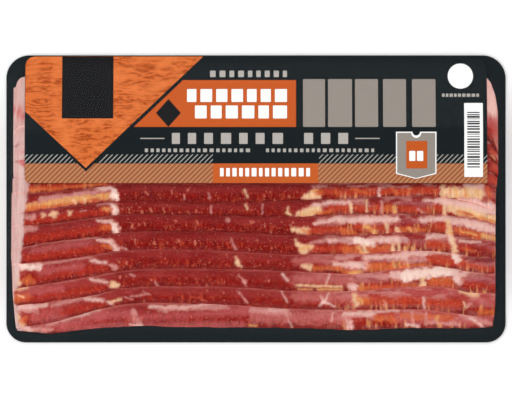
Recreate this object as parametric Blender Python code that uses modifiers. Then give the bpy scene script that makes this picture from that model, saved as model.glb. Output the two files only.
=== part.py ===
# A vacuum pack of sliced bacon, lying on its back: a dark backing board, twelve shingled strips,
# a printed card label over their upper half, and a clear film sealed to the board all round.
# Metres, +X to the pack's right, +Y to its top edge, +Z up out of the board. Blender 4.5.
import math

import bmesh
import bpy
import numpy as np

MM = 0.001
GAP = 0.3 * MM  # clearance between pieces that touch

# Backing board
PACK_WIDTH = 280.0 * MM
PACK_HEIGHT = 161.0 * MM
BOARD_THICKNESS = 0.8 * MM
TOP_CORNER = 13.0 * MM
BOTTOM_CORNER = 11.0 * MM

# Bacon strips, numbered from the lowest, which was laid first
STRIPS = 12
STRIP_THICKNESS = 3.4 * MM
STRIP_SPAN = 4  # each strip reaches under the tips of the next four
END_TAPER = 7.0 * MM  # length over which a strip thins towards its end
END_THICKNESS = 0.6  # of the full thickness
CORNER_INSET = 0.7 * MM  # how far a strip's corners are drawn in, seen from above
# Rounded lower edge of a strip, up from its tip: part of the way to the next tip, part of thickness
EDGE_PROFILE = ((0.04, 0.38), (0.22, 0.78), (0.50, 0.97))
BROW, CREST, RIDGE = range(3)  # the crest lies highest, and the cut face starts at the ridge
MIDDLE_STATIONS = 23  # cross-sections along the middle of a strip
MIDDLE_REACH = (-127.5 * MM, 126.5 * MM)
LEFT_SHOULDER = np.array((-133.0, -130.5)) * MM
RIGHT_SHOULDER = np.array((129.3, 131.8)) * MM

# Tips of the strips that show below the label: the lower edge of each, left to right
TIP_X = np.array((-136.6, -119.8, -94.1, -79.0, -31.4, 24.6, 52.6, 103.0, 125.4, 135.0)) * MM
TIP_Y = np.array((
    (-74.0, -75.3, -72.9, -71.7, -72.0, -72.5, -73.4, -72.3, -72.6, -71.7),
    (-72.3, -69.9, -63.1, -59.7, -58.9, -61.7, -62.2, -62.8, -65.6, -65.9),
    (-60.0, -58.1, -54.3, -51.0, -49.1, -51.6, -51.6, -49.3, -52.7, -53.0),
    (-50.5, -47.9, -43.8, -40.9, -39.3, -40.7, -42.1, -37.7, -41.5, -41.8),
    (-36.5, -35.3, -32.1, -29.5, -28.6, -31.1, -30.6, -29.5, -32.5, -33.4),
    (-28.1, -25.0, -21.7, -19.2, -18.3, -20.2, -20.2, -19.2, -22.7, -23.9),
    (-15.2, -14.3, -10.8, -9.0, -9.0, -9.9, -8.7, -8.9, -11.5, -13.8),
    (-8.5, -5.9, -3.1, -1.3, -2.3, -0.7, 0.2, 1.0, -2.9, -6.5),
    (3.3, 3.9, 6.0, 8.0, 8.6, 8.6, 8.9, 10.0, 8.9, 5.5),
)) * MM
# Upper edge of the bacon, with its rounded corners
TOP_X = np.array((-136.0, -133.3, -129.4, -122.0, 124.0, 129.0, 131.8, 135.6)) * MM
TOP_Y = np.array((59.5, 65.3, 68.3, 69.4, 69.4, 68.0, 64.0, 53.5)) * MM

# Ends of the strips, from the lowest up
LEFT_END = np.array(
    (-133.8, -135.2, -136.2, -136.5, -137.1, -136.9, -136.0, -135.0, -135.4, -135.9, -135.9, -135.9)
) * MM
RIGHT_END = np.array(
    (132.8, 134.1, 134.1, 133.7, 134.1, 134.0, 134.2, 134.1, 134.8, 135.6, 135.6, 135.6)
) * MM

# Card label
LABEL_THICKNESS = 0.5 * MM
LABEL_LEFT = -129.4 * MM
LABEL_RIGHT = 129.4 * MM
LABEL_BOTTOM = 8.9 * MM
LABEL_TOP = 80.1 * MM
LABEL_LANDS = 75.5 * MM  # where the label reaches the board above the bacon
LABEL_CORNER = 3.0 * MM  # how far the label's top corners are cut in
FIRST_LABEL_STRIP = 9

# Clear film
FILM_THICKNESS = 0.25 * MM
FILM_MARGIN = 0.3 * MM  # of board left bare outside the film
FILM_CLEARANCE = 0.4 * MM
FILM_LEFT = np.array((1.5, 2.4)) * MM  # foot and shoulder of the film's side walls, from the edge
FILM_RIGHT = np.array((1.5, 2.6)) * MM
FILM_FOOT = 1.4 * MM  # gap from the lowest tip to the film's foot
FILM_BROW = 0.65  # of a strip's thickness: where the film first bears on the lowest strip


def clear_scene():
    for obj in list(bpy.data.objects):
        bpy.data.objects.remove(obj)


def material(name, colour, roughness, alpha=1.0):
    made = bpy.data.materials.new(name)
    made.use_nodes = True
    shader = made.node_tree.nodes["Principled BSDF"]
    shader.inputs["Base Color"].default_value = (*colour, 1.0)
    shader.inputs["Roughness"].default_value = roughness
    shader.inputs["Metallic"].default_value = 0.0
    shader.inputs["Alpha"].default_value = alpha
    made.diffuse_color = (*colour, alpha)
    return made


def place(name, mesh, collection, finish):
    obj = bpy.data.objects.new(name, mesh)
    obj.data.materials.append(finish)
    collection.objects.link(obj)
    return obj


def smooth_line(x, knots_x, knots_y):
    """Cubic through the knots, with the slope at each knot taken from its neighbours."""
    slopes = np.gradient(knots_y, knots_x)
    i = np.clip(np.searchsorted(knots_x, x) - 1, 0, len(knots_x) - 2)
    width = knots_x[i + 1] - knots_x[i]
    u = np.clip((x - knots_x[i]) / width, 0.0, 1.0)
    start = knots_y[i] * (1 + 2 * u) * (1 - u) ** 2 + slopes[i] * width * u * (1 - u) ** 2
    end = knots_y[i + 1] * (3 - 2 * u) * u**2 - slopes[i + 1] * width * (1 - u) * u**2
    return start + end


def tip_line(line, x):
    """Y of a strip's lower edge at x. Lines past the measured ones are spaced evenly to the top."""
    measured = len(TIP_Y)
    if line <= measured:
        return smooth_line(x, TIP_X, TIP_Y[line - 1])
    last = smooth_line(x, TIP_X, TIP_Y[-1])
    hidden = STRIPS + STRIP_SPAN - measured
    return last + (np.interp(x, TOP_X, TOP_Y) - last) * (line - measured) / hidden


def strip_stations(strip):
    """The X of each cross-section of a strip: all but its two ends are the same for every strip."""
    middle = np.linspace(*MIDDLE_REACH, MIDDLE_STATIONS)
    ends = ((LEFT_END[strip - 1],), LEFT_SHOULDER, middle, RIGHT_SHOULDER, (RIGHT_END[strip - 1],))
    return np.concatenate(ends)


def strip_thickness(strip, x):
    """Thickness along a strip, uneven and drawn thin at both ends."""
    from_end = np.minimum(x - LEFT_END[strip - 1], RIGHT_END[strip - 1] - x)
    taper = np.sin(0.5 * math.pi * np.clip(from_end / END_TAPER, 0.0, 1.0))
    wave = 1 + 0.03 * np.sin(x / (23 * MM) + 2.1 * strip) + 0.02 * np.sin(x / (9 * MM) + 3.7 * strip)
    return STRIP_THICKNESS * (END_THICKNESS + (1 - END_THICKNESS) * taper) * wave


def lay_strips():
    """Lays each strip on the one before. Returns the X, Y, underside and top of each one's lines."""
    laid = []
    for strip in range(1, STRIPS + 1):
        x = np.tile(strip_stations(strip), (STRIP_SPAN + 1, 1))
        x[[0, -1], 0] += CORNER_INSET
        x[[0, -1], -1] -= CORNER_INSET
        y = np.array([tip_line(strip + i, x[i]) for i in range(STRIP_SPAN + 1)])
        under = np.full(x.shape, BOARD_THICKNESS + GAP)
        if laid:
            below = laid[-1]
            for i in range(STRIP_SPAN):
                under[i] = np.interp(x[i], below["x"][i + 1], below["top"][i + 1]) + GAP
        top = under + strip_thickness(strip, strip_stations(strip))
        laid.append({"x": x, "y": y, "under": under, "top": top})
    return laid


def edge_line(layer, step):
    """(X, Y, Z) of a line along a strip's rounded lower edge, at one step of its profile."""
    along, up = EDGE_PROFILE[step]
    x = layer["x"][0] + 2 * along * (layer["x"][1] - layer["x"][0])
    y = layer["y"][0] + along * (layer["y"][1] - layer["y"][0])
    under = layer["under"][0] + along * (layer["under"][1] - layer["under"][0])
    return x, y, under + up * (layer["top"][0] - layer["under"][0])


def strip_sections(layer):
    """Each cross-section of a strip as a ring of points: underside, then top face, then lower edge."""
    x, y = layer["x"], layer["y"]
    rows = [(x[i], y[i], layer["under"][i]) for i in range(STRIP_SPAN + 1)]
    rows += [(x[i], y[i], layer["top"][i]) for i in range(STRIP_SPAN, 0, -1)]
    rows += [edge_line(layer, step) for step in (RIDGE, CREST, BROW)]
    return np.array(rows).transpose(2, 0, 1)


def loft(sections, caps):
    """A closed mesh skinned over a strip's rings, with each end closed by the given faces.

    Underside and top are split along the same diagonals, so that stacked strips lie parallel.
    """
    mesh = bmesh.new()
    rings = [[mesh.verts.new(point) for point in ring] for ring in sections]
    for first, second in zip(rings, rings[1:]):
        for i in range(len(first)):
            j = (i + 1) % len(first)
            if i < STRIP_SPAN:
                mesh.faces.new((first[i], second[i], second[j]))
                mesh.faces.new((first[i], second[j], first[j]))
            else:
                mesh.faces.new((first[i], second[i], first[j]))
                mesh.faces.new((second[i], second[j], first[j]))
    for cap in caps:
        mesh.faces.new([rings[0][i] for i in cap])
        mesh.faces.new([rings[-1][i] for i in reversed(cap)])
    bmesh.ops.recalc_face_normals(mesh, faces=mesh.faces)
    return mesh


def to_mesh(name, built):
    data = bpy.data.meshes.new(name)
    built.to_mesh(data)
    built.free()
    return data


def add_strip(strip, layer, collection, finish):
    ring = 2 * STRIP_SPAN + 1 + len(EDGE_PROFILE)
    caps = [(i, i + 1, 2 * STRIP_SPAN - i, 2 * STRIP_SPAN + 1 - i) for i in range(1, STRIP_SPAN)]
    caps.append((0, 1, *range(2 * STRIP_SPAN, ring)))
    name = f"bacon_strip_{strip:02d}"
    return place(name, to_mesh(name, loft(strip_sections(layer), caps)), collection, finish)


def corner_points(centre_x, centre_y, radius, start):
    steps = 8
    angles = [math.radians(start + 90 * i / steps) for i in range(steps + 1)]
    return [(centre_x + radius * math.cos(a), centre_y + radius * math.sin(a)) for a in angles]


def board_outline():
    half_x, half_y = PACK_WIDTH / 2, PACK_HEIGHT / 2
    points = corner_points(half_x - TOP_CORNER, half_y - TOP_CORNER, TOP_CORNER, 0)
    points += corner_points(TOP_CORNER - half_x, half_y - TOP_CORNER, TOP_CORNER, 90)
    points += corner_points(BOTTOM_CORNER - half_x, BOTTOM_CORNER - half_y, BOTTOM_CORNER, 180)
    points += corner_points(half_x - BOTTOM_CORNER, BOTTOM_CORNER - half_y, BOTTOM_CORNER, 270)
    return points


def add_backing(collection, finish):
    """The board, as a flat outline given its thickness."""
    curve = bpy.data.curves.new("backing", "CURVE")
    curve.dimensions = "2D"
    curve.fill_mode = "BOTH"
    curve.extrude = BOARD_THICKNESS / 2
    outline = board_outline()
    spline = curve.splines.new("POLY")
    spline.points.add(len(outline) - 1)
    for point, (x, y) in zip(spline.points, outline):
        point.co = (x, y, 0.0, 1.0)
    spline.use_cyclic_u = True
    board = place("backing", curve, collection, finish)
    board.location.z = BOARD_THICKNESS / 2
    return board


def line_at(x, line):
    """(Y, Z) at each x of a line given as X, Y and Z."""
    return np.interp(x, line[0], line[1]), np.interp(x, line[0], line[2])


def label_rows(laid, x):
    """Lines across the label from its lower edge up, each as (Y, underside Z) at every x."""
    flat = np.ones_like(x)
    crests = [line_at(x, edge_line(layer, CREST)) for layer in laid[FIRST_LABEL_STRIP - 1 :]]
    plateau = np.max([z for _, z in crests], axis=0) + GAP
    last_ridge = line_at(x, edge_line(laid[-1], RIDGE))[0]
    rows = [(y, plateau) for y in (LABEL_BOTTOM * flat, (LABEL_BOTTOM + last_ridge) / 2, last_ridge)]
    for x_of_line, y_of_line, top in list(zip(laid[-1]["x"], laid[-1]["y"], laid[-1]["top"]))[1:]:
        y, z = line_at(x, (x_of_line, y_of_line, top))
        rows.append((y, z + GAP))
    board = (BOARD_THICKNESS + GAP) * flat
    rows += [(y * flat, board) for y in (LABEL_LANDS, LABEL_TOP - LABEL_CORNER, LABEL_TOP)]
    return rows


def sheet(rows, x):
    """An open grid through lines of (Y, Z), with the X of each line's points."""
    mesh = bmesh.new()
    grid = []
    for y, z in rows:
        grid.append([mesh.verts.new(point) for point in zip(x[len(grid)], y, z)])
    for low, high in zip(grid, grid[1:]):
        for i in range(len(low) - 1):
            mesh.faces.new((low[i], low[i + 1], high[i + 1], high[i]))
    return mesh


def solidify(obj, thickness):
    """Gives an open sheet its thickness, on its upper side."""
    skin = obj.modifiers.new("thickness", "SOLIDIFY")
    skin.thickness = thickness
    skin.offset = 1.0
    return obj


def add_label(laid, collection, finish):
    inner = np.linspace(*MIDDLE_REACH, MIDDLE_STATIONS)[::2]
    x = np.concatenate(((LABEL_LEFT,), inner, (LABEL_RIGHT,)))
    rows = label_rows(laid, x)
    places = np.tile(x, (len(rows), 1))
    places[-1] *= 1 - LABEL_CORNER / LABEL_RIGHT
    label = place("label_card", to_mesh("label_card", sheet(rows, places)), collection, finish)
    return solidify(label, LABEL_THICKNESS)


def half_extent(y):
    """Half the film's width at height y, inside the board's rounded corners."""
    half_y = PACK_HEIGHT / 2 - FILM_MARGIN
    radius = TOP_CORNER if y > 0 else BOTTOM_CORNER
    into_corner = np.clip(radius - (half_y - abs(y)), 0.0, radius)
    return PACK_WIDTH / 2 - FILM_MARGIN - radius + math.sqrt(radius**2 - into_corner**2)


def film_rows(laid, x):
    """Lines across the film from its lower edge up, each as (Y, underside Z) at every x."""
    flat = np.ones_like(x)
    edge = PACK_HEIGHT / 2 - FILM_MARGIN
    seal = (BOARD_THICKNESS + GAP) * flat
    over_label = LABEL_THICKNESS + GAP + FILM_CLEARANCE
    toe = tip_line(1, x) - FILM_FOOT
    brow = BOARD_THICKNESS + GAP + FILM_BROW * strip_thickness(1, x)
    rows = [(-edge * flat, seal), ((toe - edge) / 2, seal), (toe, seal), (toe + 0.7 * FILM_FOOT, brow)]
    for strip in range(1, FIRST_LABEL_STRIP):
        layer = laid[strip - 1]
        for step in (CREST, RIDGE) if strip <= STRIP_SPAN else (CREST,):
            y, z = line_at(x, edge_line(layer, step))
            rows.append((y, z + FILM_CLEARANCE))
    for y, z in label_rows(laid, x):
        rows.append((y, z + over_label))
    rows[-1] = ((edge - FILM_MARGIN) * flat, rows[-1][1])
    rows.append((edge * flat, rows[-1][1]))
    return rows


def film_columns(middle):
    edge = PACK_WIDTH / 2 - FILM_MARGIN
    left = -edge + np.concatenate(((0.0,), FILM_LEFT - FILM_MARGIN))
    right = edge - np.concatenate(((FILM_RIGHT - FILM_MARGIN)[::-1], (0.0,)))
    return np.concatenate((left, middle, right))


def add_film(laid, collection, finish):
    """Dome of film over the contents: flat at its seal, steep at its sides."""
    edge = PACK_WIDTH / 2 - FILM_MARGIN
    columns = film_columns(strip_stations(4)[1:-1])
    rows = film_rows(laid, columns)
    last_row = len(rows) - 1
    places = []
    for row, (y, z) in enumerate(rows):
        sealed = BOARD_THICKNESS + GAP + (LABEL_THICKNESS + GAP + FILM_CLEARANCE) * row / last_row
        z[[0, 1, -2, -1]] = np.minimum(z[[0, 1, -2, -1]], sealed)
        places.append([columns[i] * half_extent(y[i]) / edge for i in range(len(columns))])
    film = place("clear_film", to_mesh("clear_film", sheet(rows, np.array(places))), collection, finish)
    return solidify(film, FILM_THICKNESS)


def main():
    clear_scene()
    pack = bpy.data.collections.new("bacon_pack")
    bpy.context.scene.collection.children.link(pack)
    charcoal = material("charcoal_board", (0.017, 0.023, 0.026), 0.5)
    bacon = material("bacon", (0.42, 0.09, 0.07), 0.4)
    card = material("charcoal_card", (0.020, 0.026, 0.029), 0.5)
    clear = material("clear_film", (0.9, 0.9, 0.9), 0.1, alpha=0.2)
    laid = lay_strips()
    add_backing(pack, charcoal)
    for strip, layer in enumerate(laid, start=1):
        add_strip(strip, layer, pack, bacon)
    add_label(laid, pack, card)
    add_film(laid, pack, clear)


main()
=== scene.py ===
# The looks of a vacuum pack of sliced bacon: marbled strips, a printed card label with generic print,
# clear film over both and a dark backing board. Metres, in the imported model's own frame.
import math

import bmesh
import bpy
import numpy as np
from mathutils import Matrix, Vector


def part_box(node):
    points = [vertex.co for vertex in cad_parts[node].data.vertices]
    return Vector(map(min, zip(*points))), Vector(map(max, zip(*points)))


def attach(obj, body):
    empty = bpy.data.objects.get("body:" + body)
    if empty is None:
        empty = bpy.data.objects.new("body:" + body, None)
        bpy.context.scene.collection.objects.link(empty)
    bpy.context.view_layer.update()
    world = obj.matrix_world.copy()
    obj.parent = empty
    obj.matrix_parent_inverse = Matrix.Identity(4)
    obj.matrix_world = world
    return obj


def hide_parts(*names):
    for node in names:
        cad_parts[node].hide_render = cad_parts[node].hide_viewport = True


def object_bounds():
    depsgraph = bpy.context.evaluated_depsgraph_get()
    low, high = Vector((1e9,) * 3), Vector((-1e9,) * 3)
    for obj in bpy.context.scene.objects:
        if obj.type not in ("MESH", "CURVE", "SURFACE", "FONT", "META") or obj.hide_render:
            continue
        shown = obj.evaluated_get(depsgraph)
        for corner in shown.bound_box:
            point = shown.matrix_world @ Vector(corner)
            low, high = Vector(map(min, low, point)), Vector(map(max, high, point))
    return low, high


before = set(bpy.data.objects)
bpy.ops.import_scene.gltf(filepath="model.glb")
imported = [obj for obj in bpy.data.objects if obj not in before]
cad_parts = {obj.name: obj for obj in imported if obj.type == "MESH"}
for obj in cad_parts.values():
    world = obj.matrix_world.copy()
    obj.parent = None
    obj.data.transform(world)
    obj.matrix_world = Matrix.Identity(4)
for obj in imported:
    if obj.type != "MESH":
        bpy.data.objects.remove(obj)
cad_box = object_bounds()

MM = 0.001

# The photograph's frame: 512 x 400 px, 0.56 mm to a pixel, with the pack's centre at this pixel
PX = 0.56 * MM
CENTRE_PX = (256.0, 198.9)
PHOTO_PX = (512, 400)

# Sizes shared with the solids
BOARD_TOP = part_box("backing")[1][2]
PACK_HALF_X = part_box("backing")[1][0]
PACK_HALF_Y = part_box("backing")[1][1]
TOP_CORNER = 13.0 * MM
BOTTOM_CORNER = 11.0 * MM
GAP = 0.3 * MM
STRIPS = 12
STRIP_THICKNESS = 3.4 * MM
STRIP_SPAN = 4
END_TAPER = 7.0 * MM
END_THICKNESS = 0.6

# Tips of the strips that show below the label: the lower edge of each, left to right
TIP_X = np.array((-136.6, -119.8, -94.1, -79.0, -31.4, 24.6, 52.6, 103.0, 125.4, 135.0)) * MM
TIP_Y = np.array((
    (-74.0, -75.3, -72.9, -71.7, -72.0, -72.5, -73.4, -72.3, -72.6, -71.7),
    (-72.3, -69.9, -63.1, -59.7, -58.9, -61.7, -62.2, -62.8, -65.6, -65.9),
    (-60.0, -58.1, -54.3, -51.0, -49.1, -51.6, -51.6, -49.3, -52.7, -53.0),
    (-50.5, -47.9, -43.8, -40.9, -39.3, -40.7, -42.1, -37.7, -41.5, -41.8),
    (-36.5, -35.3, -32.1, -29.5, -28.6, -31.1, -30.6, -29.5, -32.5, -33.4),
    (-28.1, -25.0, -21.7, -19.2, -18.3, -20.2, -20.2, -19.2, -22.7, -23.9),
    (-15.2, -14.3, -10.8, -9.0, -9.0, -9.9, -8.7, -8.9, -11.5, -13.8),
    (-8.5, -5.9, -3.1, -1.3, -2.3, -0.7, 0.2, 1.0, -2.9, -6.5),
    (3.3, 3.9, 6.0, 8.0, 8.6, 8.6, 8.9, 10.0, 8.9, 5.5),
)) * MM
# Upper edge of the last strip, left to right
TOP_X = np.array((-136.0, -135.0, -133.6, -132.2, -129.4, -122.0, 124.0, 129.0, 131.8, 134.2, 135.6)) * MM
TOP_Y = np.array((62.3, 65.8, 67.5, 68.2, 68.8, 69.4, 69.4, 68.4, 65.0, 58.0, 49.0)) * MM
# Where the strips end at the left and at the right, from the lowest strip up
LEFT_END = np.array(
    (-133.8, -135.2, -136.2, -136.5, -137.1, -136.9, -136.0, -135.0, -135.4, -135.9, -135.9, -135.9)
) * MM
RIGHT_END = np.array(
    (132.8, 134.1, 134.1, 133.7, 134.1, 134.0, 134.2, 134.1, 134.8, 135.6, 135.6, 135.6)
) * MM


def px(x, y):
    """Metres, in the frame's X and Y, of a pixel of the photograph."""
    return (x - CENTRE_PX[0]) * PX, (CENTRE_PX[1] - y) * PX


def srgb(r, g, b):
    """Linear colour of an 8-bit sRGB one."""
    values = np.array((r, g, b)) / 255.0
    return tuple(np.where(values <= 0.04045, values / 12.92, ((values + 0.055) / 1.055) ** 2.4))


def smoothstep(low, high, value):
    """From 0 at low to 1 at high, with a soft start and end."""
    t = np.clip((value - low) / (high - low), 0.0, 1.0)
    return t * t * (3 - 2 * t)


def hash_grid(i, j, seed):
    """A repeatable random value from 0 to 1 for whole numbers i and j."""
    value = np.sin(i * 127.1 + j * 311.7 + seed * 74.7) * 43758.5453
    return value - np.floor(value)


def noise(x, y, seed=0.0):
    """Smooth value noise from 0 to 1, with features about one unit across."""
    i, j = np.floor(x), np.floor(y)
    u, v = x - i, y - j
    u, v = u * u * (3 - 2 * u), v * v * (3 - 2 * v)
    low = hash_grid(i, j, seed) * (1 - u) + hash_grid(i + 1, j, seed) * u
    high = hash_grid(i, j + 1, seed) * (1 - u) + hash_grid(i + 1, j + 1, seed) * u
    return low * (1 - v) + high * v


def layered(x, y, seed=0.0):
    """Three octaves of noise, from 0 to 1."""
    total = noise(x, y, seed) + 0.5 * noise(2.1 * x, 2.1 * y, seed + 5)
    total = total + 0.25 * noise(4.3 * x, 4.3 * y, seed + 9)
    return total / 1.75


# Meshes and pieces

def mesh_from(name, points, faces):
    data = bpy.data.meshes.new(name)
    data.from_pydata([tuple(p) for p in points], [], [tuple(f) for f in faces])
    data.polygons.foreach_set("use_smooth", [True] * len(data.polygons))
    data.update()
    return data


def add_piece(name, data, finish, nodes=()):
    """Puts a mesh in the scene as a piece that rides on the pack."""
    piece = bpy.data.objects.new(name, data)
    bpy.context.scene.collection.objects.link(piece)
    data.materials.append(finish)
    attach(piece, "root")
    if nodes:
        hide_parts(*nodes)
    return piece


def grid_faces(rows, columns, closed=False):
    """Quads over a grid of points stored row by row. A closed grid's last row meets its first."""
    r = np.arange(rows if closed else rows - 1)[:, None]
    c = np.arange(columns - 1)[None, :]
    here, after = r * columns, ((r + 1) % rows) * columns
    quads = np.stack((here + c, here + c + 1, after + c + 1, after + c), axis=-1)
    return quads.reshape(-1, 4)


def set_attribute(data, name, values):
    """Stores a colour for every vertex."""
    layer = data.color_attributes.new(name, "FLOAT_COLOR", "POINT")
    layer.data.foreach_set("color", np.ascontiguousarray(values, np.float32).ravel())


# Materials

class Nodes:
    """Short forms for building one material's nodes."""

    def __init__(self, name):
        self.material = bpy.data.materials.new(name)
        self.material.use_nodes = True
        self.tree = self.material.node_tree
        self.shader = self.tree.nodes["Principled BSDF"]

    def add(self, kind, inputs=(), **settings):
        node = self.tree.nodes.new(kind)
        for key, value in settings.items():
            setattr(node, key, value)
        for key, value in dict(inputs).items():
            self.feed(node.inputs[key], value)
        return node

    def feed(self, socket, value):
        if isinstance(value, bpy.types.NodeSocket):
            self.tree.links.new(value, socket)
        else:
            socket.default_value = value

    def position(self):
        return self.add("ShaderNodeTexCoord").outputs["Object"]

    def stretched(self, scale):
        """Object coordinates times a scale for each axis."""
        node = self.add("ShaderNodeMapping", {"Vector": self.position(), "Scale": scale})
        return node.outputs["Vector"]

    def noise(self, scale, detail=3.0, roughness=0.55, distortion=0.0):
        inputs = {"Vector": self.stretched(scale), "Scale": 1.0, "Detail": detail}
        inputs.update({"Roughness": roughness, "Distortion": distortion})
        return self.add("ShaderNodeTexNoise", inputs).outputs["Fac"]

    def math(self, operation, *values):
        return self.add("ShaderNodeMath", enumerate(values), operation=operation).outputs["Value"]

    def vector(self, operation, *values, output="Vector"):
        node = self.add("ShaderNodeVectorMath", enumerate(values), operation=operation)
        return node.outputs[output]

    def range(self, value, low, high, to_low=0.0, to_high=1.0):
        inputs = {"Value": value, "From Min": low, "From Max": high, "To Min": to_low, "To Max": to_high}
        return self.add("ShaderNodeMapRange", inputs).outputs["Result"]

    def mix(self, factor, first, second, blend="MIX"):
        node = self.add("ShaderNodeMix", data_type="RGBA", blend_type=blend)
        self.feed(node.inputs[0], factor)
        self.feed(node.inputs[6], first)
        self.feed(node.inputs[7], second)
        return node.outputs[2]

    def bump(self, height, distance, strength):
        inputs = {"Height": height, "Distance": distance, "Strength": strength}
        self.feed(self.shader.inputs["Normal"], self.add("ShaderNodeBump", inputs).outputs["Normal"])

    def finish(self, **inputs):
        for key, value in inputs.items():
            self.feed(self.shader.inputs[key.replace("_", " ")], value)
        return self.material


# Gloss of everything that is printed
INK_GLOSS = {"Roughness": 0.55, "Specular_IOR_Level": 0.05}


def colour(rgb):
    return (*srgb(*rgb), 1.0)


def bacon_material():
    """The painted meat, with fine grain, streaks down the cut edge and small specks of fat."""
    nodes = Nodes("cured_bacon")
    painting = nodes.add("ShaderNodeAttribute", attribute_name="flesh")
    painted, edge = painting.outputs["Color"], painting.outputs["Alpha"]
    green = nodes.add("ShaderNodeSeparateColor", {"Color": painted}).outputs["Green"]
    meaty = nodes.range(green, 0.12, 0.5, 1.0, 0.3)
    fine = nodes.range(nodes.noise((1500, 1100, 900), 3.0), 0.3, 0.7, -0.13, 0.13)
    fine = nodes.math("ADD", nodes.math("MULTIPLY", fine, meaty), 1.0)
    streak = nodes.range(nodes.noise((1300, 170, 170), 3.0), 0.3, 0.7, 0.78, 1.22)
    streak = nodes.math("ADD", nodes.math("MULTIPLY", nodes.math("SUBTRACT", streak, 1.0), edge), 1.0)
    flesh = nodes.mix(1.0, painted, nodes.math("MULTIPLY", fine, streak), "MULTIPLY")
    ember = nodes.range(nodes.noise((1000, 700, 700), 2.0), 0.58, 0.7, 0.0, 0.5)
    ember = nodes.math("MULTIPLY", nodes.math("MULTIPLY", ember, edge), meaty)
    flesh = nodes.mix(ember, flesh, colour((208, 92, 62)))
    speck = nodes.range(nodes.noise((1150, 1000, 1000), 1.0), 0.68, 0.74, 0.0, 0.5)
    flesh = nodes.mix(nodes.math("MULTIPLY", speck, meaty), flesh, colour((222, 160, 146)))
    nodes.bump(nodes.noise((600, 350, 350), 3.0), 0.12 * MM, 0.2)
    rough = nodes.range(nodes.noise((300, 300, 300)), 0.3, 0.7, 0.32, 0.5)
    return nodes.finish(Base_Color=flesh, Roughness=rough, Specular_IOR_Level=0.08)


def charcoal_material(name, rgb):
    """Dark, dull board with a fine grain."""
    nodes = Nodes(name)
    grain = nodes.noise((2500, 2500, 2500), 2.0)
    darker = colour([0.88 * c for c in rgb])
    nodes.bump(grain, 0.03 * MM, 0.25)
    flat = nodes.mix(grain, colour(rgb), darker)
    return nodes.finish(Base_Color=flat, Roughness=0.5, Specular_IOR_Level=0.05)


def ink_material(name, rgb, worn=0.93):
    """Flat print, a little uneven where the card's grain shows through it."""
    nodes = Nodes(name)
    grain = nodes.range(nodes.noise((1400, 1400, 1400), 3.0), 0.35, 0.65)
    ink = nodes.mix(grain, colour(rgb), colour([worn * c for c in rgb]))
    return nodes.finish(Base_Color=ink, **INK_GLOSS)


def hatch_material(name, stripe, ground, half_width):
    """Slanting stripes, one to every HATCH_PITCH along the label. half_width is a part of it."""
    nodes = Nodes(name)
    split = nodes.add("ShaderNodeSeparateXYZ", {"Vector": nodes.position()})
    across_stripes = nodes.math("SUBTRACT", split.outputs["X"], split.outputs["Y"])
    part = nodes.math("FRACT", nodes.math("MULTIPLY", across_stripes, 1 / HATCH_PITCH))
    from_middle = nodes.math("ABSOLUTE", nodes.math("SUBTRACT", part, 0.5))
    off_stripe = nodes.range(from_middle, half_width - STRIPE_SOFT, half_width + STRIPE_SOFT)
    stripes = nodes.mix(off_stripe, colour(stripe), colour(ground))
    return nodes.finish(Base_Color=stripes, **INK_GLOSS)


def woodgrain_material():
    """Orange ink printed with wavy boards' grain that parts round a knot."""
    nodes = Nodes("orange_woodgrain")
    at = nodes.position()
    spread = nodes.vector("MULTIPLY", nodes.vector("SUBTRACT", at, KNOT), (60, 130, 0))
    reach = nodes.vector("LENGTH", spread, output="Value")
    swell = nodes.math("MULTIPLY", nodes.math("EXPONENT", nodes.math("MULTIPLY", reach, -1.0)), 3.5)
    waver = nodes.math("MULTIPLY", nodes.noise((60, 190, 1), 4.0, 0.65), 4.5)
    height = nodes.add("ShaderNodeSeparateXYZ", {"Vector": at}).outputs["Y"]
    phase = nodes.math("ADD", nodes.math("ADD", nodes.math("MULTIPLY", height, 260.0), waver), swell)
    lines = nodes.math("ABSOLUTE", nodes.math("SUBTRACT", nodes.math("FRACT", phase), 0.5))
    worn = nodes.range(nodes.noise((70, 120, 1), 3.0), 0.36, 0.56)
    broken = nodes.math("MULTIPLY", nodes.range(nodes.noise((320, 1000, 1), 3.0), 0.34, 0.5), worn)
    mask = nodes.math("MULTIPLY", nodes.range(lines, 0.34, 0.08), broken)
    fine = nodes.range(nodes.noise((220, 2200, 1), 3.0), 0.5, 0.7, 0.0, 0.5)
    wood = nodes.mix(fine, colour((222, 120, 62)), colour((196, 92, 38)))
    wood = nodes.mix(nodes.math("MULTIPLY", worn, 0.4), wood, colour((196, 90, 34)))
    wood = nodes.mix(mask, wood, colour((160, 66, 20)))
    return nodes.finish(Base_Color=wood, **INK_GLOSS)


def film_material():
    """Clear and rippled: next to nothing seen straight on, with a faint sheen at a slant."""
    nodes = Nodes("clear_film")
    ripple = nodes.noise((60, 90, 60), 2.0, distortion=0.8)
    nodes.bump(ripple, 0.5 * MM, 0.12)
    tint = nodes.mix(ripple, (0.95, 0.95, 0.95, 1.0), (1.0, 1.0, 1.0, 1.0))
    facing = nodes.add("ShaderNodeLayerWeight", {"Blend": 0.5}).outputs["Facing"]
    sheen = nodes.math("MULTIPLY", nodes.math("POWER", facing, 5.0), 0.05)
    shown = nodes.math("ADD", sheen, 0.004)
    return nodes.finish(Base_Color=tint, Metallic=1.0, Roughness=0.13, Alpha=shown)


# Where the strips lie

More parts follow.
